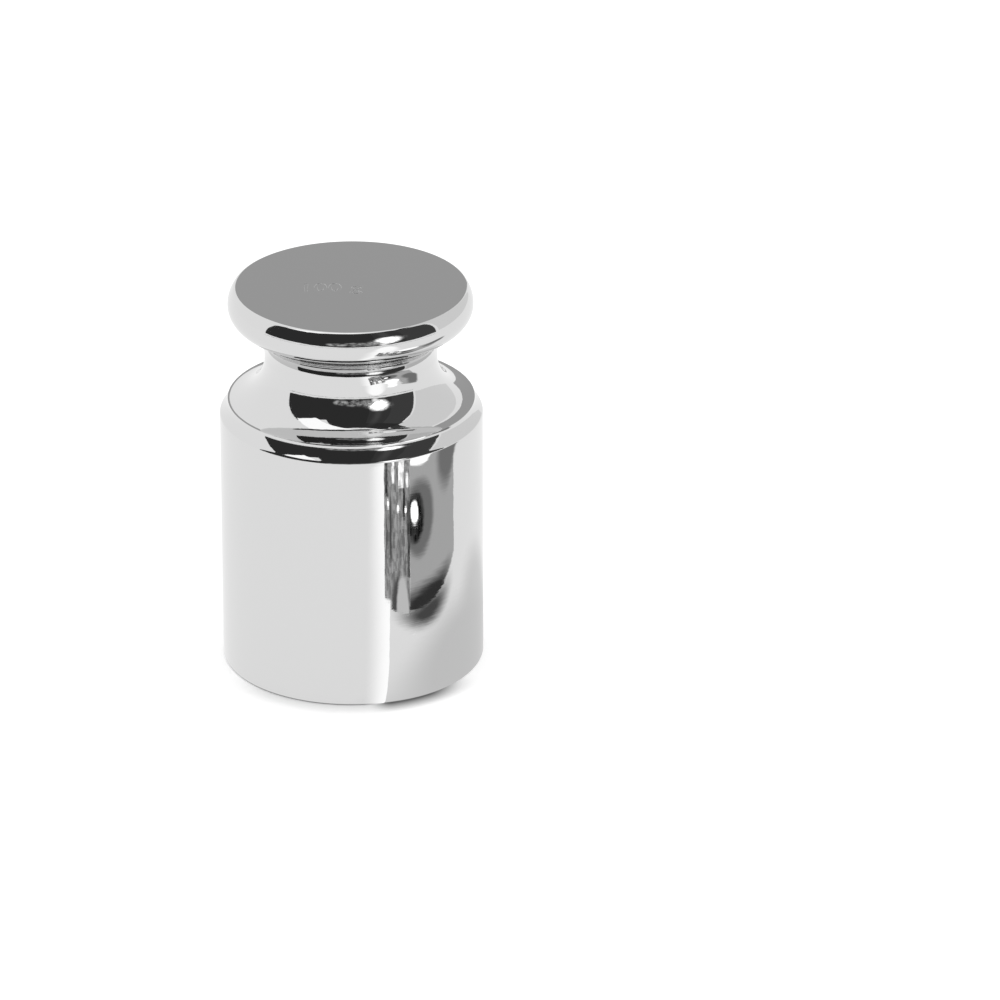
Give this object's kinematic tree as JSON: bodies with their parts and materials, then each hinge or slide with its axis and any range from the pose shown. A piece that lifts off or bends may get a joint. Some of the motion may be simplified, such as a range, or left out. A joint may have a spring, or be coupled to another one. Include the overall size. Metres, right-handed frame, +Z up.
{
  "type": "calibration weight",
  "caption": "Cylindrical calibration weight with a waisted neck and a flat-topped round knob, turned in one piece and chrome plated.",
  "frame": {"origin": "centre of the foot, on the surface that the weight stands on", "axes": "+Z up along the axis of the turning, through the knob"},
  "size_m": [0.023, 0.023, 0.0349],
  "materials": {
    "chrome_plate": "bright chrome plating on turned and polished steel"
  },
  "bodies": {
    "root": {"weight": "chrome_plate"}
  },
  "joints": []
}
